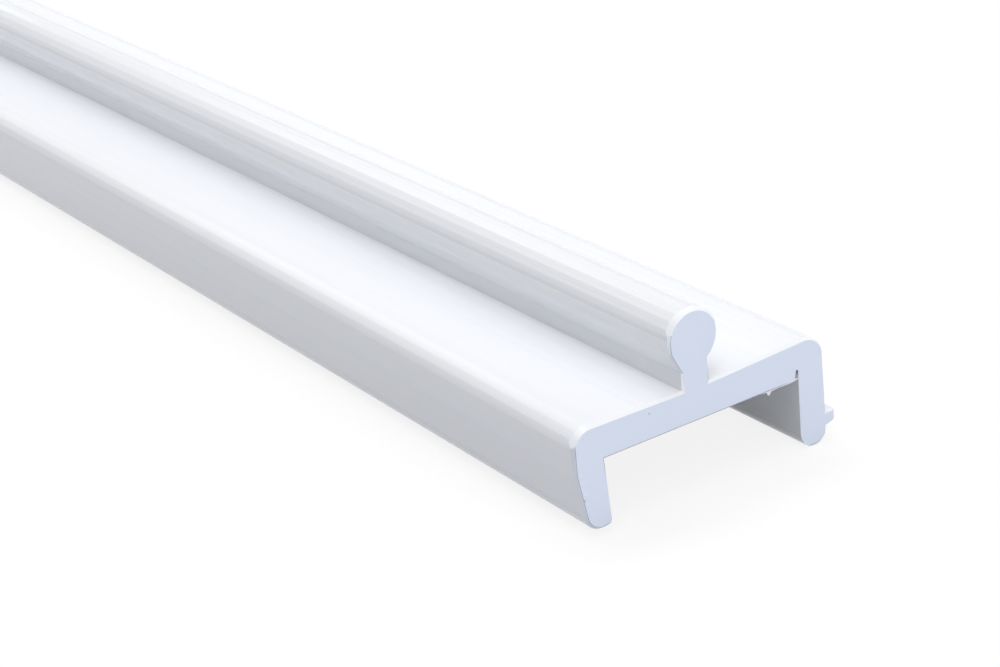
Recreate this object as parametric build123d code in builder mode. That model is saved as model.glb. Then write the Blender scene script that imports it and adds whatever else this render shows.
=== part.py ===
from build123d import *
import math
import os

# Sliding door bottom track: one white extrusion, cut to length.
# X runs across the width, with the barbed leg at +X. Y runs along the length. Z is up.
# The origin is at mid length, under the middle of the overall width, level with the longer leg's foot.

# Length and overall width over the two legs, mm
track_length = 1829.0
track_width = 25.4

# Plate: its top is a shallow V with the rail in it, and it is thicker towards the barbed side
plate_left_wall = 3.12
plate_middle_wall = 2.9
plate_right_wall = 3.48
plate_left_radius = 1.7
plate_right_radius = 2.2

# Left leg: plain, draws in towards its foot
left_leg_wall = 2.75
left_leg_drop = 6.0
left_leg_straight = 0.8
left_leg_outer_draw = 0.9
left_leg_inner_draw = 0.35
left_foot_outer_radius = 1.6
left_foot_inner_radius = 0.6

# Right leg: longer, upright, with a snap barb on its outer face
right_leg_wall = 2.85
right_leg_drop = 6.65
right_foot_outer_radius = 1.15
right_foot_inner_radius = 1.65

# Snap barb: flat on top, slanted below
barb_reach = 0.95
barb_below_plate = 3.9
barb_root_height = 1.4
barb_tip_height = 1.15
barb_tip_radius = 0.3

# Hinge slit in the plate beside the right leg, so that the leg can spring
slit_width = 0.4
slit_depth = 0.85

# Rail: a neck with a round head that the door's rollers run on
rail_from_left_face = 12.14
neck_width = 2.74
head_radius = 2.47
head_centre_above_underside = 7.09
flank_angle = 61.5
neck_fillet_radius = 0.35

# Broken outer edge of both cut ends
end_break_inset = 0.22
end_break_length = 0.8

# Places across the section, from the overall width with the barb
left_face = -(track_width + barb_reach) / 2
right_face = left_face + track_width
barb_tip = right_face + barb_reach
channel_left = left_face + left_leg_wall
channel_right = right_face - right_leg_wall
left_foot_outer = left_face + left_leg_outer_draw
left_foot_inner = channel_left + left_leg_inner_draw
rail_axis = left_face + rail_from_left_face
neck_left = rail_axis - neck_width / 2
neck_right = rail_axis + neck_width / 2

# Heights: the longer leg stands on zero
underside = right_leg_drop
left_foot = underside - left_leg_drop
plate_left_top = underside + plate_left_wall
plate_middle_top = underside + plate_middle_wall
plate_right_top = underside + plate_right_wall
barb_top = underside - barb_below_plate
head_centre = underside + head_centre_above_underside

# The near end, where the section is drawn
near_end = Plane.XZ.offset(track_length / 2)


def corner_at(sketch, x, z):
    return sketch.vertices().sort_by_distance((x, z))[0]


with BuildPart() as track_rail:
    with BuildSketch(near_end) as outside:
        # Plate and legs, with the channel still closed
        with BuildLine():
            Polyline(
                (left_face, plate_left_top),
                (rail_axis, plate_middle_top),
                (right_face, plate_right_top),
                (right_face, 0),
                (channel_right, 0),
                (left_foot_inner, left_foot),
                (left_foot_outer, left_foot),
                (left_face, underside - left_leg_straight),
                close=True,
            )
        make_face()
        fillet(corner_at(outside, left_face, plate_left_top), plate_left_radius)
        fillet(corner_at(outside, right_face, plate_right_top), plate_right_radius)
        fillet(corner_at(outside, left_foot_outer, left_foot), left_foot_outer_radius)
        fillet(corner_at(outside, right_face, 0), right_foot_outer_radius)

        # Neck and round head
        with BuildLine():
            Polyline(
                (neck_left, underside),
                (neck_right, underside),
                (neck_right, head_centre),
                (neck_left, head_centre),
                close=True,
            )
        make_face()
        with Locations((rail_axis, head_centre)):
            Circle(head_radius)

        # Left flank of the head: a straight run from its tangent point down to the neck
        flank = math.radians(flank_angle)
        tangent_x = rail_axis - head_radius * math.sin(flank)
        tangent_z = head_centre - head_radius * math.cos(flank)
        flank_foot = tangent_z - (neck_left - tangent_x) * math.tan(flank)
        with BuildLine():
            Polyline(
                (tangent_x, tangent_z),
                (neck_left, flank_foot),
                (rail_axis, head_centre),
                close=True,
            )
        make_face()

        # The right side of the head runs into the neck with a small fillet
        neck_meets_head = head_centre - math.sqrt(head_radius**2 - (neck_width / 2) ** 2)
        fillet(corner_at(outside, neck_right, neck_meets_head), neck_fillet_radius)

        # Snap barb on the right leg's outer face
        with BuildLine():
            Polyline(
                (channel_right, barb_top),
                (barb_tip, barb_top),
                (barb_tip, barb_top - barb_tip_height),
                (right_face, barb_top - barb_root_height),
                (channel_right, barb_top - barb_root_height),
                close=True,
            )
        make_face()
        fillet(corner_at(outside, barb_tip, barb_top), barb_tip_radius)
        fillet(corner_at(outside, barb_tip, barb_top - barb_tip_height), barb_tip_radius)
    extrude(amount=-track_length)

    # Both cut ends have their outer edges broken, while the channel's inside stays sharp
    for end_face in (track_rail.faces().sort_by(Axis.Y)[0], track_rail.faces().sort_by(Axis.Y)[-1]):
        chamfer(end_face.edges(), length=end_break_inset, length2=end_break_length, reference=end_face)

    # The channel, through the whole length: it spreads out level with each foot,
    # so that the rounding of its corners there rounds the feet's inner edges
    with BuildSketch(near_end) as channel:
        with BuildLine():
            Polyline(
                (channel_left, underside),
                (channel_right, underside),
                (channel_right, 0),
                (right_face, 0),
                (right_face, -right_foot_inner_radius),
                (left_face, -right_foot_inner_radius),
                (left_face, left_foot),
                (left_foot_inner, left_foot),
                close=True,
            )
        make_face()
        fillet(corner_at(channel, channel_right, 0), right_foot_inner_radius)
        fillet(corner_at(channel, left_foot_inner, left_foot), left_foot_inner_radius)

        # Hinge slit, round at its top
        slit_left = channel_right - slit_width
        slit_shoulder = underside + slit_depth - slit_width / 2
        with BuildLine():
            Polyline(
                (slit_left, slit_shoulder),
                (slit_left, left_foot),
                (channel_right, left_foot),
                (channel_right, slit_shoulder),
            )
            ThreePointArc(
                (channel_right, slit_shoulder),
                (channel_right - slit_width / 2, underside + slit_depth),
                (slit_left, slit_shoulder),
            )
        make_face()
    extrude(amount=-track_length, mode=Mode.SUBTRACT)

os.makedirs("parts", exist_ok=True)
track_rail.part.label = "track_rail"
export_step(track_rail.part, "parts/track_rail.step")
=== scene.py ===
import bpy
import math
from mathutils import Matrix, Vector


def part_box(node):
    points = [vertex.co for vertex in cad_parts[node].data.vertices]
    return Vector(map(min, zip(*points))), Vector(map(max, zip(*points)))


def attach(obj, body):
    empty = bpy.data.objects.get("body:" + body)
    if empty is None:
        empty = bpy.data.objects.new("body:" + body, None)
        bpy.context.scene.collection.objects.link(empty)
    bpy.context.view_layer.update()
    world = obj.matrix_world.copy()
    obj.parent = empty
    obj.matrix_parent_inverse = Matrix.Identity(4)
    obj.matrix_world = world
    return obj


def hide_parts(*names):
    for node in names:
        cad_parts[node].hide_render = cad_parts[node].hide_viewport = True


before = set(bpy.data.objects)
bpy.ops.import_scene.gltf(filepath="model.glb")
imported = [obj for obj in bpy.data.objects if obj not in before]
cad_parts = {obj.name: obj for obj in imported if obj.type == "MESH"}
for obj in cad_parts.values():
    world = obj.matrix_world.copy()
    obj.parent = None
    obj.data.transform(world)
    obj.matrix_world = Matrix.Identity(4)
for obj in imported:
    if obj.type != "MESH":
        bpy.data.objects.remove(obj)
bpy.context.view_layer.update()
trackLow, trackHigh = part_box("track_rail")
mm = 0.001

# Places in the section, in millimetres
railAxis = -1.035    # X of the rail's middle
plateUnderside = 6.65    # Z of the plate's underside
nearEnd = trackLow.y / mm    # Y of the cut end that faces the camera

# The track's material slots; the scraped, edge and break slots carry painted light and shade by
# facing
drawnSlot, sawnSlot, scrapedShadedSlot, shadedEdgeSlot, shadedBreakSlot = range(5)

# Small tools

def deselectAll():
    if bpy.context.object and bpy.context.object.mode != "OBJECT":
        bpy.ops.object.mode_set(mode="OBJECT")
    bpy.ops.object.select_all(action="DESELECT")


def makeActive(piece):
    deselectAll()
    piece.select_set(True)
    bpy.context.view_layer.objects.active = piece


# Tools for node trees. A value may be a number, a colour, a vector or another node's socket.

def addNode(tree, kind, place, **settings):
    node = tree.nodes.new(kind)
    node.location = place
    for name, value in settings.items():
        setattr(node, name, value)
    return node


def feed(tree, socket, value):
    if isinstance(value, bpy.types.NodeSocket):
        tree.links.new(value, socket)
    elif socket.type == "RGBA":
        socket.default_value = (*value, 1)
    else:
        socket.default_value = value


def feedNamed(tree, sockets, values):
    for name, value in values.items():
        feed(tree, sockets[name], value)


def addMaths(tree, operation, values, place):
    node = addNode(tree, "ShaderNodeMath", place, operation=operation)
    for socket, value in zip(node.inputs, values):
        feed(tree, socket, value)
    return node.outputs["Value"]


def addVectorMaths(tree, operation, values, place):
    node = addNode(tree, "ShaderNodeVectorMath", place, operation=operation)
    for socket, value in zip(node.inputs, values):
        feed(tree, socket, value)
    givesNumber = operation in ("DISTANCE", "DOT_PRODUCT", "LENGTH")
    return node.outputs["Value" if givesNumber else "Vector"]


def addVector(tree, values, place):
    node = addNode(tree, "ShaderNodeCombineXYZ", place)
    feedNamed(tree, node.inputs, values)
    return node.outputs["Vector"]


def addParts(tree, vector, place):
    node = addNode(tree, "ShaderNodeSeparateXYZ", place)
    tree.links.new(vector, node.inputs["Vector"])
    return node.outputs


def addRamp(tree, value, start, end, place, ramp=(0.0, 1.0), kind="SMOOTHSTEP"):
    node = addNode(tree, "ShaderNodeMapRange", place, interpolation_type=kind)
    feedNamed(tree, node.inputs, {
        "Value": value,
        "From Min": start,
        "From Max": end,
        "To Min": ramp[0],
        "To Max": ramp[1],
    })
    return node.outputs["Result"]


def addNoise(tree, values, place):
    node = addNode(tree, "ShaderNodeTexNoise", place, noise_dimensions="3D")
    feedNamed(tree, node.inputs, values)
    return node.outputs["Fac"]


def addMix(tree, first, second, factor, place):
    node = addNode(tree, "ShaderNodeMix", place, data_type="RGBA")
    feedNamed(tree, node.inputs, {"A": first, "B": second, "Factor": factor})
    return node.outputs["Result"]


def addGroup(tree, group, place, values):
    node = addNode(tree, "ShaderNodeGroup", place, node_tree=group)
    feedNamed(tree, node.inputs, values)
    return node.outputs


def addPlaceInMm(tree, place):
    x, y = place
    coordinates = addNode(tree, "ShaderNodeTexCoord", place)
    toMm = addNode(tree, "ShaderNodeVectorMath", (x + 200, y), operation="SCALE")
    toMm.inputs["Scale"].default_value = 1 / mm
    tree.links.new(coordinates.outputs["Object"], toMm.inputs[0])
    return toMm.outputs["Vector"]


def newGroup(name, inputs, outputs):
    group = bpy.data.node_groups.new(name, "ShaderNodeTree")
    for label, value in inputs.items():
        kind = "NodeSocketVector" if isinstance(value, tuple) else "NodeSocketFloat"
        socket = group.interface.new_socket(name=label, in_out="INPUT", socket_type=kind)
        socket.default_value = value
    for label in outputs:
        group.interface.new_socket(name=label, in_out="OUTPUT", socket_type="NodeSocketFloat")
    given = addNode(group, "NodeGroupInput", (-1500, 0)).outputs
    results = addNode(group, "NodeGroupOutput", (1100, 0)).inputs
    return group, given, results


def newMaterial(name):
    material = bpy.data.materials.new(name)
    material.use_nodes = True
    tree = material.node_tree
    tree.nodes.clear()
    output = addNode(tree, "ShaderNodeOutputMaterial", (1100, 0))
    surface = addNode(tree, "ShaderNodeBsdfPrincipled", (800, 0))
    tree.links.new(surface.outputs["BSDF"], output.inputs["Surface"])
    return material, tree, surface


def addRelief(tree, heightInMm, surface):
    bump = addNode(tree, "ShaderNodeBump", (500, -300))
    feedNamed(tree, bump.inputs, {"Strength": 1.0, "Distance": mm, "Height": heightInMm})
    tree.links.new(bump.outputs["Normal"], surface.inputs["Normal"])


# Shared effect: fine lines that the die draws along the length, height in millimetres,
# with broad streaks among them

dieLinesLook = {
    "detail": 3.0,
    "roughness": 0.6,
    "streaksPerLine": 0.35,
    "streakDetail": 1.0,
    "streakFrom": 0.35,
    "streakTo": 0.7,
}


def makeDieLines():
    look = dieLinesLook
    group, given, results = newGroup(
        "dieLines",
        {"Lines per mm": 2.0, "Run per mm": 0.006, "Depth mm": 0.003},
        ("Height", "Streak"),
    )
    stretch = addVector(group, {"X": 1.0, "Y": given["Run per mm"], "Z": 1.0}, (-700, 100))
    place = addPlaceInMm(group, (-900, 300))
    along = addVectorMaths(group, "MULTIPLY", (place, stretch), (-500, 200))
    fine = addNoise(group, {
        "Vector": along,
        "Scale": given["Lines per mm"],
        "Detail": look["detail"],
        "Roughness": look["roughness"],
    }, (-250, 250))
    streaksPerMm = addMaths(
        group, "MULTIPLY", (given["Lines per mm"], look["streaksPerLine"]), (-500, -50)
    )
    broad = addNoise(group, {
        "Vector": along,
        "Scale": streaksPerMm,
        "Detail": look["streakDetail"],
    }, (-250, -50))
    streak = addRamp(group, broad, look["streakFrom"], look["streakTo"], (0, -50))
    depth = addMaths(group, "MULTIPLY", (fine, given["Depth mm"]), (250, 150))
    feedNamed(group, results, {"Height": depth, "Streak": streak})
    return group


# Shared effect: one line along the whole length, raised, or sunk where its height is below zero.
# On a cut end it shows as a round spot.

def makeDieMark():
    group, given, results = newGroup(
        "dieMark",
        {"X mm": 0.0, "Z mm": 0.0, "Width mm": 0.06, "Height mm": 0.005},
        ("Height", "Mask"),
    )
    place = addPlaceInMm(group, (-900, 300))
    flat = addVectorMaths(group, "MULTIPLY", (place, (1, 0, 1)), (-500, 300))
    centre = addVector(group, {"X": given["X mm"], "Z": given["Z mm"]}, (-500, 100))
    away = addVectorMaths(group, "DISTANCE", (flat, centre), (-300, 200))
    ridge = addRamp(group, away, 0.0, given["Width mm"], (-100, 200), (1.0, 0.0))
    rise = addMaths(group, "MULTIPLY", (ridge, given["Height mm"]), (200, 200))
    feedNamed(group, results, {"Height": rise, "Mask": ridge})
    return group


def addMarks(tree, dieMark, marks, height, place):
    mask = 0.0
    left, top = place
    for row, (x, z, width, rise) in enumerate(marks):
        down = top - 200 * row
        settings = {"X mm": x, "Z mm": z, "Width mm": width, "Height mm": rise}
        mark = addGroup(tree, dieMark, (left, down), settings)
        height = addMaths(tree, "ADD", (height, mark["Height"]), (left + 200, down))
        mask = addMaths(tree, "MAXIMUM", (mark["Mask"], mask), (left + 350, down))
    return height, mask


# Shared effect: the faint flats of a die that was cut in short straight steps round an arc.
# Height is in millimetres, and Angle tells how far round the arc a place is, in degrees.

arcMargin = 1.05    # how far from its centre an arc still counts, over its radius


def makeDieFlats():
    group, given, results = newGroup(
        "dieFlats",
        {
            "X mm": 0.0,
            "Z mm": 0.0,
            "Radius mm": 2.0,
            "Start degrees": 90.0,
            "End degrees": 180.0,
            "Step degrees": 17.0,
            "Strength": 0.9,
        },
        ("Height", "Angle", "On Arc"),
    )
    radius, start, end, step = [
        given[name] for name in ("Radius mm", "Start degrees", "End degrees", "Step degrees")
    ]

    def maths(operation, values, place):
        return addMaths(group, operation, values, place)

    place = addPlaceInMm(group, (-1500, 400))
    centre = addVector(group, {"X": given["X mm"], "Z": given["Z mm"]}, (-1300, 200))
    apart = addVectorMaths(group, "SUBTRACT", (place, centre), (-1100, 300))
    flat = addVectorMaths(group, "MULTIPLY", (apart, (1, 0, 1)), (-950, 300))
    away = addVectorMaths(group, "LENGTH", (flat,), (-800, 200))
    parts = addParts(group, flat, (-800, 400))
    turn = maths("ARCTAN2", (parts["Z"], parts["X"]), (-600, 400))
    angle = maths("DEGREES", (turn,), (-450, 400))
    past = maths("SUBTRACT", (angle, start), (-300, 400))
    steps = maths("DIVIDE", (past, step), (-150, 400))
    within = maths("FRACT", (steps,), (0, 400))
    middle = maths("SUBTRACT", (within, 0.5), (150, 400))
    square = maths("MULTIPLY", (middle, middle), (300, 400))
    stepTurn = maths("RADIANS", (step,), (-300, 0))
    stepSquare = maths("MULTIPLY", (stepTurn, stepTurn), (-150, 0))
    reach = maths("MULTIPLY", (stepSquare, radius), (0, 0))
    strength = maths("MULTIPLY", (reach, given["Strength"]), (150, 0))
    halved = maths("MULTIPLY", (strength, 0.5), (300, 0))
    after = maths("GREATER_THAN", (angle, start), (-300, -200))
    before = maths("LESS_THAN", (angle, end), (-300, -350))
    between = maths("MULTIPLY", (after, before), (-150, -250))
    limit = maths("MULTIPLY", (radius, arcMargin), (-600, -100))
    near = maths("LESS_THAN", (away, limit), (-450, -100))
    onArc = maths("MULTIPLY", (between, near), (300, -200))
    sag = maths("MULTIPLY", (square, halved), (500, 200))
    height = maths("MULTIPLY", (sag, onArc), (700, 100))
    feedNamed(group, results, {"Height": height, "Angle": angle, "On Arc": near})
    return group


# Shared effect: a box across the section, 1 inside it and 0 outside, which places the painted shade
# in the channel

def makeChannelShadeMask():
    group, given, results = newGroup(
        "channelShadeMask", {"Left mm": 0.0, "Right mm": 1.0, "Top mm": 1.0}, ("Mask",)
    )
    place = addPlaceInMm(group, (-900, 300))
    parts = addParts(group, place, (-500, 300))
    pastLeft = addMaths(group, "GREATER_THAN", (parts["X"], given["Left mm"]), (-300, 300))
    beforeRight = addMaths(group, "LESS_THAN", (parts["X"], given["Right mm"]), (-300, 150))
    belowTop = addMaths(group, "LESS_THAN", (parts["Z"], given["Top mm"]), (-300, 0))
    across = addMaths(group, "MULTIPLY", (pastLeft, beforeRight), (-100, 200))
    mask = addMaths(group, "MULTIPLY", (across, belowTop), (100, 100))
    feedNamed(group, results, {"Mask": mask})
    return group


# Shared effect: a thin line of painted shade along a straight edge, which fades at its far end

def makeEdgeShadeLine():
    group, given, results = newGroup(
        "edgeShadeLine",
        {
            "Start mm": (0, 0, 0),
            "Along": (1, 0, 0),
            "Across": (0, 0, 1),
            "Length mm": 10.0,
            "Fade mm": 1.0,
            "Width mm": 0.08,
        },
        ("Mask",),
    )
    place = addPlaceInMm(group, (-1100, 300))
    away = addVectorMaths(group, "SUBTRACT", (place, given["Start mm"]), (-700, 200))
    along = addVectorMaths(group, "DOT_PRODUCT", (away, given["Along"]), (-500, 300))
    across = addVectorMaths(group, "DOT_PRODUCT", (away, given["Across"]), (-500, 100))
    aside = addMaths(group, "ABSOLUTE", (across,), (-350, 100))
    thin = addRamp(group, aside, 0.0, given["Width mm"], (-150, 100), (1.0, 0.0))
    fadeFrom = addMaths(
        group, "SUBTRACT", (given["Length mm"], given["Fade mm"]), (-500, -150)
    )
    ending = addRamp(group, along, fadeFrom, given["Length mm"], (-150, -150), (1.0, 0.0))
    begun = addMaths(group, "GREATER_THAN", (along, 0.0), (-150, 400))
    both = addMaths(group, "MULTIPLY", (thin, ending), (100, 0))
    mask = addMaths(group, "MULTIPLY", (both, begun), (300, 100))
    feedNamed(group, results, {"Mask": mask})
    return group


# White rigid vinyl as the die leaves it, with painted shade in the channel and the slit and a
# painted dark reflection along the head

drawnVinyl = {
    "paleTone": (0.898, 0.912, 0.945),
    "streakAndShadeTone": (0.875, 0.892, 0.935),
    "roughness": 0.11,
    "roughnessSwing": 0.04,
    "flatRoughness": 0.22,    # the plate and the legs, away from the polished arcs
    "ior": 1.53,
    "lines": {"Lines per mm": 3.0, "Depth mm": 0.0012},
    "flats": {    # arcs that the die steps round
        "head": {
            "X mm": railAxis,
            "Z mm": 13.74,
            "Radius mm": 2.47,
            "Start degrees": 84.5,
            "End degrees": 169.5,
            "Step degrees": 17.0,
            "Strength": 1.0,
        },
        "leftCorner": {
            "X mm": -11.475,
            "Z mm": 8.05,
            "Radius mm": 1.70,
            "Start degrees": 100.0,
            "End degrees": 175.0,
            "Step degrees": 25.0,
            "Strength": 0.45,
        },
    },
    "inside": {"Left mm": -10.50, "Right mm": 9.60, "Top mm": 6.70},
    "channelShadeTone": (0.77, 0.785, 0.81),    # painted shade on the channel's inside
    "slit": {"X mm": 9.255, "Z mm": 7.50, "Width mm": 0.70},
    # painted shade in the slit
    "slitShadeTone": (0.27, 0.285, 0.33),
    "darkReflectionTone": (0.80, 0.817, 0.86),
    "darkReflectionAngle": 166.5,    # a painted dark reflection along the head's left side, in degrees
    "darkReflectionHalf": 4.6,
    "darkReflectionFade": 1.2,
    "marks": (    # x, z, width and height of single die lines, mm
        (-3.291, 14.745, 0.07, 0.010),
        (-1.880, 16.061, 0.06, 0.003),
        (-2.118, 15.960, 0.05, 0.003),
        (-1.549, 16.156, 0.05, 0.002),
        (-6.560, 9.662, 0.10, 0.003),
        (-10.360, 9.747, 0.09, 0.003),
    ),
}


def makeDrawnVinyl(dieLines, dieMark, dieFlats, channelShadeMask):
    look = drawnVinyl
    material, tree, surface = newMaterial("drawnVinyl")
    lines = addGroup(tree, dieLines, (-700, 200), look["lines"])
    height = lines["Height"]
    arcs = {}
    for row, (name, arc) in enumerate(look["flats"].items()):
        down = -100 - 300 * row
        arcs[name] = addGroup(tree, dieFlats, (-700, down), arc)
        height = addMaths(tree, "ADD", (height, arcs[name]["Height"]), (-450, down))
    height, _ = addMarks(tree, dieMark, look["marks"], height, (-300, -900))
    tone = addMix(tree, look["paleTone"], look["streakAndShadeTone"], lines["Streak"], (100, 300))
    # A painted dark reflection runs along the head's left side
    aside = addMaths(
        tree, "SUBTRACT", (arcs["head"]["Angle"], look["darkReflectionAngle"]), (-450, 600)
    )
    apartBy = addMaths(tree, "ABSOLUTE", (aside,), (-300, 600))
    fadeFrom = look["darkReflectionHalf"] - look["darkReflectionFade"]
    streak = addRamp(tree, apartBy, fadeFrom, look["darkReflectionHalf"], (-150, 600), (1.0, 0.0))
    darkReflectionOnHead = addMaths(tree, "MULTIPLY", (streak, arcs["head"]["On Arc"]), (50, 600))
    tone = addMix(tree, tone, look["darkReflectionTone"], darkReflectionOnHead, (250, 300))
    # Painted shade darkens the channel's inside and the slit
    inside = addGroup(tree, channelShadeMask, (-700, 900), look["inside"])
    tone = addMix(tree, tone, look["channelShadeTone"], inside["Mask"], (400, 300))
    slit = addGroup(tree, dieMark, (-700, 1200), look["slit"])
    tone = addMix(tree, tone, look["slitShadeTone"], slit["Mask"], (550, 300))
    # The round head and corner are the most polished
    swing = look["roughnessSwing"] / 2
    roughSpan = (look["roughness"] - swing, look["roughness"] + swing)
    rough = addRamp(tree, lines["Streak"], 0.0, 1.0, (100, 0), roughSpan, "LINEAR")
    polished = addMaths(
        tree, "MAXIMUM", [arcs[name]["On Arc"] for name in ("head", "leftCorner")], (-300, 100)
    )
    flatShare = addMaths(tree, "SUBTRACT", (1.0, polished), (-150, 100))
    duller = look["flatRoughness"] - look["roughness"]
    rough = addMaths(tree, "MULTIPLY_ADD", (flatShare, duller, rough), (300, 100))
    feedNamed(tree, surface.inputs, {"Base Color": tone, "Roughness": rough, "IOR": look["ior"]})
    addRelief(tree, height, surface)
    return material


# The scraped rim of the cut ends, with light and shade painted by which way it faces: pale where it
# looks up, and grey down the sides.
# Each number from the shade limit to topAbove is how far the surface looks up, from -1 to 1.

scrapedShadedVinyl = {
    "paleTone": (0.90, 0.93, 0.985),
    "upFacingPaintedTone": (0.86, 0.877, 0.908),
    "streakAndShadeTone": (0.62, 0.65, 0.735),
    "shadeBelow": 0.22,
    "paleAbove": 0.34,
    "topFrom": 0.35,
    "topAbove": 0.80,
    "roughness": 0.42,
    "lines": {"Lines per mm": 7.0, "Run per mm": 0.7, "Depth mm": 0.004},
}


# The sharp edges of the cut that look down or to the left get painted shade

shadedEdge = {
    "paleTone": (0.62, 0.65, 0.73),
    "upFacingPaintedTone": (0.62, 0.65, 0.73),
    "streakAndShadeTone": (0.30, 0.335, 0.42),
    "shadeBelow": -0.10,
    "paleAbove": 0.60,
    "topFrom": 0.60,
    "topAbove": 0.90,
    "roughness": 0.55,
    "lines": {"Lines per mm": 5.0, "Run per mm": 0.7, "Depth mm": 0.003},
}


# Under the head's pale crescent the break is narrow, and painted shade makes it greyer

shadedBreak = {
    "paleTone": (0.76, 0.79, 0.85),
    "upFacingPaintedTone": (0.80, 0.83, 0.88),
    "streakAndShadeTone": (0.66, 0.69, 0.76),
    "shadeBelow": -0.30,
    "paleAbove": 0.30,
    "topFrom": 0.30,
    "topAbove": 0.60,
    "roughness": 0.45,
    "lines": {"Lines per mm": 6.0, "Run per mm": 0.7, "Depth mm": 0.004},
}


def makeFacingShadedVinyl(name, look, dieLines):
    material, tree, surface = newMaterial(name)
    lines = addGroup(tree, dieLines, (-300, 0), look["lines"])
    geometry = addNode(tree, "ShaderNodeNewGeometry", (-600, 400))
    # painted light and shade: the tone follows how far the surface looks up
    looksUp = addParts(tree, geometry.outputs["Normal"], (-400, 400))["Z"]
    upwards = addRamp(tree, looksUp, look["shadeBelow"], look["paleAbove"], (-200, 400))
    topwards = addRamp(tree, looksUp, look["topFrom"], look["topAbove"], (-200, 650))
    tone = addMix(tree, look["streakAndShadeTone"], look["paleTone"], upwards, (100, 200))
    tone = addMix(tree, tone, look["upFacingPaintedTone"], topwards, (300, 200))
    feedNamed(tree, surface.inputs, {"Base Color": tone, "Roughness": look["roughness"]})
    addRelief(tree, lines["Height"], surface)
    return material


# The sawn end: matt, a little bluer, with a few pits darkened by painted shade, a crumbled place
# beside the left edge and painted shade along two inner edges

sawnVinyl = {
    "tone": (0.691, 0.752, 0.884),
    "paleTone": (0.711, 0.772, 0.894),
    # painted shade in the pits
    "pitShadeTone": (0.42, 0.45, 0.52),
    "crumbTone": (0.76, 0.80, 0.93),
    "roughness": 0.62,
    "mottle": {"Scale": 0.35 / mm, "Detail": 3.0},
    "grain": {"Scale": 7.0 / mm, "Detail": 4.0},
    "grainMm": 0.010,
    "pits": (    # x, z, width and height, mm
        (-5.82, 8.83, 0.13, -0.040),
        (-11.73, 9.11, 0.06, -0.010),
        (-12.15, 8.91, 0.06, -0.010),
        (-12.56, 3.66, 0.20, -0.060),
    ),
    "crumbs": (    # x, z, width and height, mm
        (-12.60, 5.90, 0.24, 0.030),
        (-12.52, 5.24, 0.32, 0.035),
        (-12.56, 4.78, 0.18, 0.020),
        (-12.36, 4.18, 0.30, 0.035),
    ),
    # painted shade along the plate's underside edge and down the left leg's inner edge
    "edgeShadeTone": (0.26, 0.275, 0.31),
    "edgeShadeLines": (    # start x and z, direction in degrees, length, fade and width, mm
        (-10.46, 6.66, 0.0, 19.3, 1.5, 0.085),
        (-10.43, 6.72, -86.7, 2.6, 2.0, 0.075),
    ),
}


def makeSawnVinyl(dieMark, edgeShadeLine):
    look = sawnVinyl
    material, tree, surface = newMaterial("sawnVinyl")
    place = addNode(tree, "ShaderNodeTexCoord", (-1300, 0)).outputs["Object"]
    mottle = addNoise(tree, {"Vector": place, **look["mottle"]}, (-1100, 300))
    grain = addNoise(tree, {"Vector": place, **look["grain"]}, (-1100, -200))
    height = addMaths(tree, "MULTIPLY", (grain, look["grainMm"]), (-900, -200))
    height, crumbs = addMarks(tree, dieMark, look["crumbs"], height, (-700, -300))
    height, pits = addMarks(tree, dieMark, look["pits"], height, (-300, -300))
    tone = addMix(tree, look["tone"], look["paleTone"], mottle, (0, 300))
    tone = addMix(tree, tone, look["crumbTone"], crumbs, (150, 300))
    tone = addMix(tree, tone, look["pitShadeTone"], pits, (300, 300))
    for row, (x, z, turn, length, fade, width) in enumerate(look["edgeShadeLines"]):
        turn = math.radians(turn)
        line = addGroup(tree, edgeShadeLine, (300, 600 + 300 * row), {
            "Start mm": (x, 0, z),
            "Along": (math.cos(turn), 0, math.sin(turn)),
            "Across": (-math.sin(turn), 0, math.cos(turn)),
            "Length mm": length,
            "Fade mm": fade,
            "Width mm": width,
        })
        tone = addMix(tree, tone, look["edgeShadeTone"], line["Mask"], (500 + 150 * row, 600))
    feedNamed(tree, surface.inputs, {"Base Color": tone, "Roughness": look["roughness"]})
    addRelief(tree, height, surface)
    return material


# The track: a merged copy of the CAD node, whose broken end edges vary round the section

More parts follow.
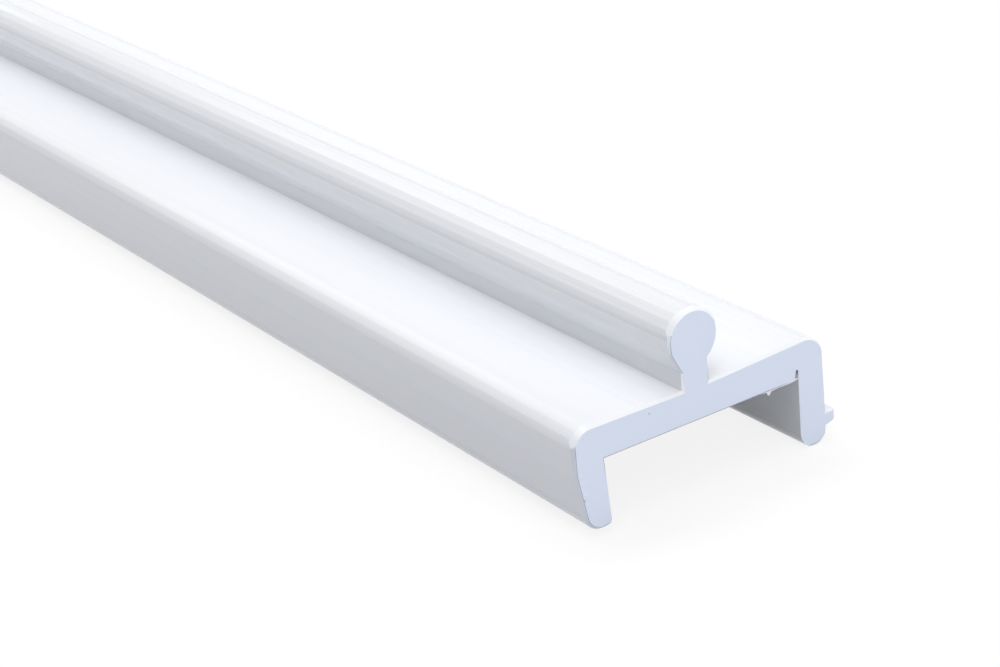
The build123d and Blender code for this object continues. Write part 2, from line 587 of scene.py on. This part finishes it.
trackLook = {
    "mergeMm": 0.0005,
    "flatAngle": 0.6,
    "edgeRoundMm": 0.05,
    "edgeSegments": 2,
    "smoothAngle": 35.0,
    "breakLengthMm": 0.8,
    "breakInsetMm": 0.22,
    "slackMm": 0.02,    # how far a vertex may be from the place where it is looked for
    "sawnFacing": 0.99,    # how squarely the sawn faces look along the length
    "slit": {
        "wall": 9.375,    # X of the right wall, which stays, while the left wall comes nearer
        "reach": 0.45,    # how far from that wall the slit's vertices lie
        "low": 6.6,
        "high": 7.6,
        "depth": 0.85,
        "narrowing": 0.4,    # share of its width that the slit loses at its top
    },
    "finishes": {    # facings run from -1 to 1, and places are in mm
        "slopedFrom": 0.1,    # the break's faces are neither along nor square to the length
        "slopedTo": 0.9,
        "shadedEdgeDepth": 0.08,    # only the fine rounding beside the sawn face gets the painted edge shade
        "leftFacing": -0.3,
        "downFacing": -0.2,
        "legRightSide": -11.0,
        "legDownFacing": 0.1,
        "crescentFoot": 12.8,
        "crescentTip": 14.55,
        "neckFoot": 9.45,
        "neckTop": 11.2,
        "neckLeftSide": -3.0,
    },
    "breakBlend": 0.02,    # how softly one stop below gives way to the next
    "breaks": (    # x, z, how far back the break runs there in mm, and its share of the CAD's inset
        (-12.0, 1.0, 0.24, 1.0),
        (-13.0, 4.5, 0.12, 1.0),
        (-13.2, 7.4, 0.22, 1.0),
        (-13.18, 8.2, 0.34, 1.0),
        (-12.98, 8.85, 0.72, 1.0),
        (-12.0, 9.7, 0.65, 1.0),
        (-10.9, 9.77, 0.35, 1.05),
        (-9.5, 9.75, 0.30, 1.1),
        (-7.5, 9.7, 0.28, 1.1),
        (-5.0, 9.62, 0.28, 1.1),
        (-3.3, 9.6, 0.17, 1.1),
        (-2.6, 9.6, 0.15, 1.0),
        (-2.4, 10.1, 0.14, 0.7),
        (-2.5, 11.2, 0.10, 0.5),
        (-3.2, 12.6, 0.16, 0.7),
        (-3.5, 13.7, 0.15, 0.8),
        (-3.47, 14.17, 0.15, 0.8),
        (-3.38, 14.50, 0.18, 0.9),
        (-3.28, 14.78, 0.62, 1.0),
        (-3.05, 15.16, 0.66, 1.0),
        (-2.4, 15.8, 0.66, 1.0),
        (-1.0, 16.2, 0.60, 0.95),
        (0.2, 15.88, 0.40, 0.9),
        (1.1, 14.97, 0.30, 0.9),
        (1.42, 14.0, 0.30, 0.92),
        (1.3, 13.0, 0.30, 0.9),
        (1.0, 12.3, 0.26, 0.6),
        (0.5, 11.6, 0.26, 0.8),
        (0.34, 10.5, 0.30, 0.95),
        (0.5, 9.6, 0.20, 1.0),
        (2.0, 9.68, 0.18, 1.0),
        (5.0, 9.8, 0.26, 1.0),
        (7.5, 9.92, 0.26, 1.05),
        (10.0, 10.13, 0.30, 1.1),
        (11.2, 9.8, 0.30, 0.9),
        (12.0, 9.0, 0.32, 1.1),
        (12.2, 8.0, 0.32, 1.2),
        (12.2, 6.0, 0.28, 0.95),
        (12.2, 4.5, 0.24, 0.75),
        (12.5, 2.0, 0.20, 0.8),
        (11.5, 0.2, 0.20, 1.0),
    ),
}
breakStart = trackHigh.y - trackLook["breakLengthMm"] * mm


def breakAt(x, z):
    runTotal, shareTotal, weights = 0.0, 0.0, 0.0
    for stopX, stopZ, run, share in trackLook["breaks"]:
        distance = (x - stopX) ** 2 + (z - stopZ) ** 2
        weight = 1 / (distance + trackLook["breakBlend"]) ** 2
        runTotal += weight * run
        shareTotal += weight * share
        weights += weight
    return runTotal / weights, shareTotal / weights


# The slit narrows from its mouth to its top

def narrowSlit(track):
    slit = trackLook["slit"]
    wall = slit["wall"] * mm
    for corner in track.data.vertices:
        besideWall = 0 < wall - corner.co.x < slit["reach"] * mm
        if besideWall and slit["low"] * mm < corner.co.z < slit["high"] * mm:
            rise = (corner.co.z / mm - plateUnderside) / slit["depth"]
            corner.co.x = wall - (1 - rise * slit["narrowing"]) * (wall - corner.co.x)


# Where the real edge is barely broken, the sawn face reaches further out than in the CAD

def spreadSawnFace(track):
    look = trackLook
    near = look["slackMm"] * mm
    partners = {}
    for edge in track.data.edges:
        first, second = [track.data.vertices[i] for i in edge.vertices]
        if abs(first.co.y) < abs(second.co.y):
            first, second = second, first
        atEnd = abs(abs(first.co.y) - trackHigh.y) < near
        atBreak = abs(abs(second.co.y) - breakStart) < near
        if atEnd and atBreak:
            apart = math.hypot(first.co.x - second.co.x, first.co.z - second.co.z)
            if first.index not in partners or apart < partners[first.index][0]:
                partners[first.index] = (apart, second.co.copy())
    for corner in track.data.vertices:
        if breakStart + near < abs(corner.co.y) < trackHigh.y - near:
            share = breakAt(corner.co.x / mm, corner.co.z / mm)[1]
            part = (abs(corner.co.y) - breakStart) / (trackHigh.y - breakStart)
            outwards = Vector((corner.normal.x, 0, corner.normal.z)).normalized()
            corner.co += outwards * (1 - share) * part * look["breakInsetMm"] * mm
    for index, (_, outer) in partners.items():
        corner = track.data.vertices[index].co
        share = breakAt(outer.x / mm, outer.z / mm)[1]
        corner.x = outer.x + share * (corner.x - outer.x)
        corner.z = outer.z + share * (corner.z - outer.z)


# The finish of a face beside the cut; faces that look down or to the left, and those under
# the head's crescent, get painted shade. Beside the neck the break is too fine to show, so the
# drawn finish stays there.

def slotOf(face):
    zones = trackLook["finishes"]
    facing = face.normal
    x, z = face.center.x / mm, face.center.z / mm
    depth = (trackHigh.y - abs(face.center.y)) / mm
    leftwards = facing.x < zones["leftFacing"]
    onLeg = leftwards and x < zones["legRightSide"]
    downwards = facing.z < zones["downFacing"]
    downOrLeft = downwards or (onLeg and facing.z < zones["legDownFacing"])
    underCrescent = leftwards and zones["crescentFoot"] < z < zones["crescentTip"]
    atNeck = x > zones["neckLeftSide"] and zones["neckFoot"] < z < zones["neckTop"]
    if not zones["slopedFrom"] < abs(facing.y) < zones["slopedTo"]:
        return face.material_index
    if leftwards and atNeck:
        return drawnSlot
    if depth < zones["shadedEdgeDepth"] and (downOrLeft or underCrescent):
        return shadedEdgeSlot
    if underCrescent:
        return shadedBreakSlot
    if depth < trackLook["breakLengthMm"]:
        return scrapedShadedSlot
    return face.material_index


# The break is long round the rail's head and the left corner, and short elsewhere

def shortenBreak(track):
    rounding, length = trackLook["edgeRoundMm"], trackLook["breakLengthMm"]
    slack = trackLook["slackMm"]
    for corner in track.data.vertices:
        depth = (trackHigh.y - abs(corner.co.y)) / mm
        if rounding + slack / 2 < depth < length + slack:
            run = breakAt(corner.co.x / mm, corner.co.z / mm)[0]
            part = (depth - rounding) / (length - rounding)
            depth = rounding + part * (run - rounding)
            corner.co.y = math.copysign(trackHigh.y - depth * mm, corner.co.y)


def makeTrack(finishes):
    look = trackLook
    track = bpy.data.objects.new("track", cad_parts["track_rail"].data.copy())
    bpy.context.scene.collection.objects.link(track)
    track.data.materials.clear()
    for finish in finishes:
        track.data.materials.append(finish)
    makeActive(track)
    bpy.ops.mesh.customdata_custom_splitnormals_clear()
    bpy.ops.object.mode_set(mode="EDIT")
    bpy.ops.mesh.select_all(action="SELECT")
    bpy.ops.mesh.remove_doubles(threshold=look["mergeMm"] * mm)
    bpy.ops.mesh.dissolve_limited(angle_limit=math.radians(look["flatAngle"]))
    bpy.ops.mesh.select_all(action="DESELECT")
    bpy.ops.object.mode_set(mode="OBJECT")
    narrowSlit(track)
    spreadSawnFace(track)
    # The sawn faces' edges are finely rounded
    for face in track.data.polygons:
        face.select = abs(face.normal.y) > look["sawnFacing"]
        face.material_index = sawnSlot if face.select else drawnSlot
    bpy.ops.object.mode_set(mode="EDIT")
    bpy.ops.mesh.select_mode(type="FACE")
    bpy.ops.mesh.region_to_loop()
    bpy.ops.mesh.bevel(
        offset=look["edgeRoundMm"] * mm,
        segments=look["edgeSegments"],
        affect="EDGES",
        clamp_overlap=False,
    )
    bpy.ops.mesh.select_all(action="DESELECT")
    bpy.ops.object.mode_set(mode="OBJECT")
    for face in track.data.polygons:
        face.material_index = slotOf(face)
    # The line where the broken edge starts stays crisp
    for edge in track.data.edges:
        ends = [track.data.vertices[i].co for i in edge.vertices]
        edge.select = all(abs(abs(end.y) - breakStart) < look["slackMm"] * mm for end in ends)
    bpy.ops.object.mode_set(mode="EDIT")
    bpy.ops.mesh.select_mode(type="EDGE")
    bpy.ops.mesh.mark_sharp()
    bpy.ops.object.mode_set(mode="OBJECT")
    shortenBreak(track)
    smoothAngle = math.radians(look["smoothAngle"])
    bpy.ops.object.shade_smooth_by_angle(angle=smoothAngle, keep_sharp_edges=True)
    weights = track.modifiers.new("weights", "WEIGHTED_NORMAL")
    weights.keep_sharp = True
    bpy.ops.object.modifier_apply(modifier=weights.name)
    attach(track, "root")
    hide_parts("track_rail")


# A thin flash that the saw left hanging under the plate's edge, with one drop in it

flashLook = {
    "hang": (    # x and how far the flash hangs there, mm
        (5.1, 0.01),
        (5.7, 0.05),
        (6.00, 0.09),
        (6.10, 0.34),
        (6.24, 0.44),
        (6.38, 0.32),
        (6.52, 0.12),
        (7.3, 0.09),
        (8.3, 0.11),
        (9.0, 0.06),
        (9.3, 0.01),
    ),
    "thickness": 0.14,
    "sunk": 0.10,    # how far it reaches into the plate
    "behindEnd": 0.02,
    "columns": 84,
    "rows": 5,
    "smoothAngle": 70.0,
}


def hangAt(x):
    stops = flashLook["hang"]
    for (startX, start), (endX, end) in zip(stops, stops[1:]):
        if x <= endX:
            along = max(0.0, (x - startX) / (endX - startX))
            eased = along * along * (3 - 2 * along)
            return start + (end - start) * eased
    return stops[-1][1]


def makeFlash(drawn):
    look = flashLook
    startX, endX = look["hang"][0][0], look["hang"][-1][0]
    deselectAll()
    bpy.ops.mesh.primitive_grid_add(
        x_subdivisions=look["columns"], y_subdivisions=look["rows"], size=1.0
    )
    flash = bpy.context.object
    flash.name = "cutFlash"
    flashY = nearEnd + look["behindEnd"] + look["thickness"] / 2
    for corner in flash.data.vertices:
        x = startX + (corner.co.x + 0.5) * (endX - startX)
        down = corner.co.y + 0.5
        drop = down * (hangAt(x) + look["sunk"]) - look["sunk"]
        corner.co = Vector((x, flashY, plateUnderside - drop)) * mm
    flash.data.materials.append(drawn)
    wall = flash.modifiers.new("wall", "SOLIDIFY")
    wall.thickness = look["thickness"] * mm
    wall.offset = 0.0
    bpy.ops.object.modifier_apply(modifier=wall.name)
    bpy.ops.object.mode_set(mode="EDIT")
    bpy.ops.mesh.select_all(action="SELECT")
    bpy.ops.mesh.normals_make_consistent(inside=False)
    bpy.ops.object.mode_set(mode="OBJECT")
    bpy.ops.object.shade_smooth_by_angle(angle=math.radians(look["smoothAngle"]))
    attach(flash, "root")


# Floor and world: seen directly both are pale, and they light the track less than they show

stageLook = {
    "floorSize": 14.0,
    "floorTone": (0.585, 0.60, 0.635),
    "shadowShare": 0.16,    # how much of the floor's own shading the camera sees
    "skyLight": 0.1,
}


def seenDirectly(tree):
    path = addNode(tree, "ShaderNodeLightPath", (-600, 500)).outputs
    either = addMaths(
        tree, "MAXIMUM", (path["Is Camera Ray"], path["Is Glossy Ray"]), (-400, 500)
    )
    return addMaths(tree, "MAXIMUM", (either, path["Is Transmission Ray"]), (-200, 500))


def makeFloor():
    look = stageLook
    bpy.ops.mesh.primitive_plane_add(size=look["floorSize"], location=(0, 0, 0))
    floor = bpy.context.object
    floor.name = "floor"
    material = bpy.data.materials.new("paleFloor")
    material.use_nodes = True
    tree = material.node_tree
    tree.nodes.clear()
    link = tree.links.new
    output = addNode(tree, "ShaderNodeOutputMaterial", (800, 0))
    plain = addNode(tree, "ShaderNodeBsdfDiffuse", (0, 200))
    plain.inputs["Color"].default_value = (*look["floorTone"], 1)
    shown = addNode(tree, "ShaderNodeMixShader", (300, -100))
    shown.inputs["Fac"].default_value = look["shadowShare"]
    white = addNode(tree, "ShaderNodeEmission", (0, -100))
    white.inputs["Strength"].default_value = 1.0
    shaded = addNode(tree, "ShaderNodeBsdfDiffuse", (0, -300))
    shaded.inputs["Color"].default_value = (1, 1, 1, 1)
    pick = addNode(tree, "ShaderNodeMixShader", (550, 0))
    link(white.outputs["Emission"], shown.inputs[1])
    link(shaded.outputs["BSDF"], shown.inputs[2])
    link(seenDirectly(tree), pick.inputs["Fac"])
    link(plain.outputs["BSDF"], pick.inputs[1])
    link(shown.outputs["Shader"], pick.inputs[2])
    link(pick.outputs["Shader"], output.inputs["Surface"])
    floor.data.materials.append(material)


def makeWorld():
    world = bpy.data.worlds.new("studio")
    bpy.context.scene.world = world
    world.use_nodes = True
    tree = world.node_tree
    tree.nodes.clear()
    link = tree.links.new
    output = addNode(tree, "ShaderNodeOutputWorld", (600, 0))
    light = addNode(tree, "ShaderNodeBackground", (0, 100))
    light.inputs["Strength"].default_value = stageLook["skyLight"]
    shown = addNode(tree, "ShaderNodeBackground", (0, -100))
    shown.inputs["Strength"].default_value = 1.0
    pick = addNode(tree, "ShaderNodeMixShader", (300, 0))
    link(seenDirectly(tree), pick.inputs["Fac"])
    link(light.outputs["Background"], pick.inputs[1])
    link(shown.outputs["Background"], pick.inputs[2])
    link(pick.outputs["Shader"], output.inputs["Surface"])


# Softboxes stand round the near end: bearing from +X towards +Y and height, in degrees

lamps = {
    "rightLow": {"bearing": 0, "height": 20, "wide": 0.9, "tall": 0.7, "power": 4.6},
    "backRight": {"bearing": 45, "height": 62, "wide": 0.9, "tall": 0.9, "power": 7.0},
    "backHigh": {"bearing": 90, "height": 62, "wide": 1.0, "tall": 0.8, "power": 10.9},
    "backLeft": {"bearing": 135, "height": 50, "wide": 0.9, "tall": 0.9, "power": 6.2},
    "leftFront": {"bearing": 225, "height": 50, "wide": 0.9, "tall": 0.9, "power": 4.4},
    "leftOverhead": {"bearing": 225, "height": 72, "wide": 0.9, "tall": 0.9, "power": 8.7},
    "endFill": {"bearing": 270, "height": 15, "wide": 1.2, "tall": 0.7, "power": 17.7},
    "rightFront": {"bearing": 315, "height": 45, "wide": 0.9, "tall": 0.8, "power": 3.1},
    "glintHigh": {"bearing": 81, "height": 35, "wide": 0.7, "tall": 0.45, "power": 0.55},
    "glintSide": {"bearing": 68, "height": 30, "wide": 0.5, "tall": 0.5, "power": 0.29},
    "glintLow": {"bearing": 87, "height": 18, "wide": 0.4, "tall": 0.3, "power": 0.87},
}
lampStage = {
    "aim": (0.0, -0.87, 0.008),
    "distance": 2.0,
}


def makeLamps():
    aim = Vector(lampStage["aim"])
    for name, look in lamps.items():
        bearing, height = math.radians(look["bearing"]), math.radians(look["height"])
        outwards = Vector((
            math.cos(height) * math.cos(bearing),
            math.cos(height) * math.sin(bearing),
            math.sin(height),
        ))
        bpy.ops.object.light_add(type="AREA", location=aim + lampStage["distance"] * outwards)
        lamp = bpy.context.object
        lamp.name = name
        lamp.data.shape = "RECTANGLE"
        lamp.data.size = look["wide"]
        lamp.data.size_y = look["tall"]
        lamp.data.energy = look["power"]
        lamp.rotation_euler = (-outwards).to_track_quat("-Z", "Y").to_euler()


# Camera, at the photo's angle

cameraLook = {
    "at": (-0.09806, -1.04163, 0.08632),
    "turn": (65.998, 5.295, -34.344),
    "lens": 81.0,
    "sensor": 36.0,
    "clipStart": 0.01,
    "clipEnd": 50.0,
}


def makeCamera():
    look = cameraLook
    turn = [math.radians(angle) for angle in look["turn"]]
    bpy.ops.object.camera_add(location=look["at"], rotation=turn)
    camera = bpy.context.object
    camera.data.lens = look["lens"]
    camera.data.sensor_width = look["sensor"]
    camera.data.clip_start = look["clipStart"]
    camera.data.clip_end = look["clipEnd"]
    bpy.context.scene.camera = camera


deselectAll()
dieLines = makeDieLines()
dieMark = makeDieMark()
drawn = makeDrawnVinyl(dieLines, dieMark, makeDieFlats(), makeChannelShadeMask())
makeTrack((    # in the order of the material slots
    drawn,
    makeSawnVinyl(dieMark, makeEdgeShadeLine()),
    makeFacingShadedVinyl("scrapedShadedVinyl", scrapedShadedVinyl, dieLines),
    makeFacingShadedVinyl("shadedEdge", shadedEdge, dieLines),
    makeFacingShadedVinyl("shadedBreak", shadedBreak, dieLines),
))
print("track done")
makeFlash(drawn)
print("flash done")
makeFloor()
makeWorld()
makeLamps()
makeCamera()
print("stage done")

bpy.context.scene.view_settings.view_transform = "Standard"
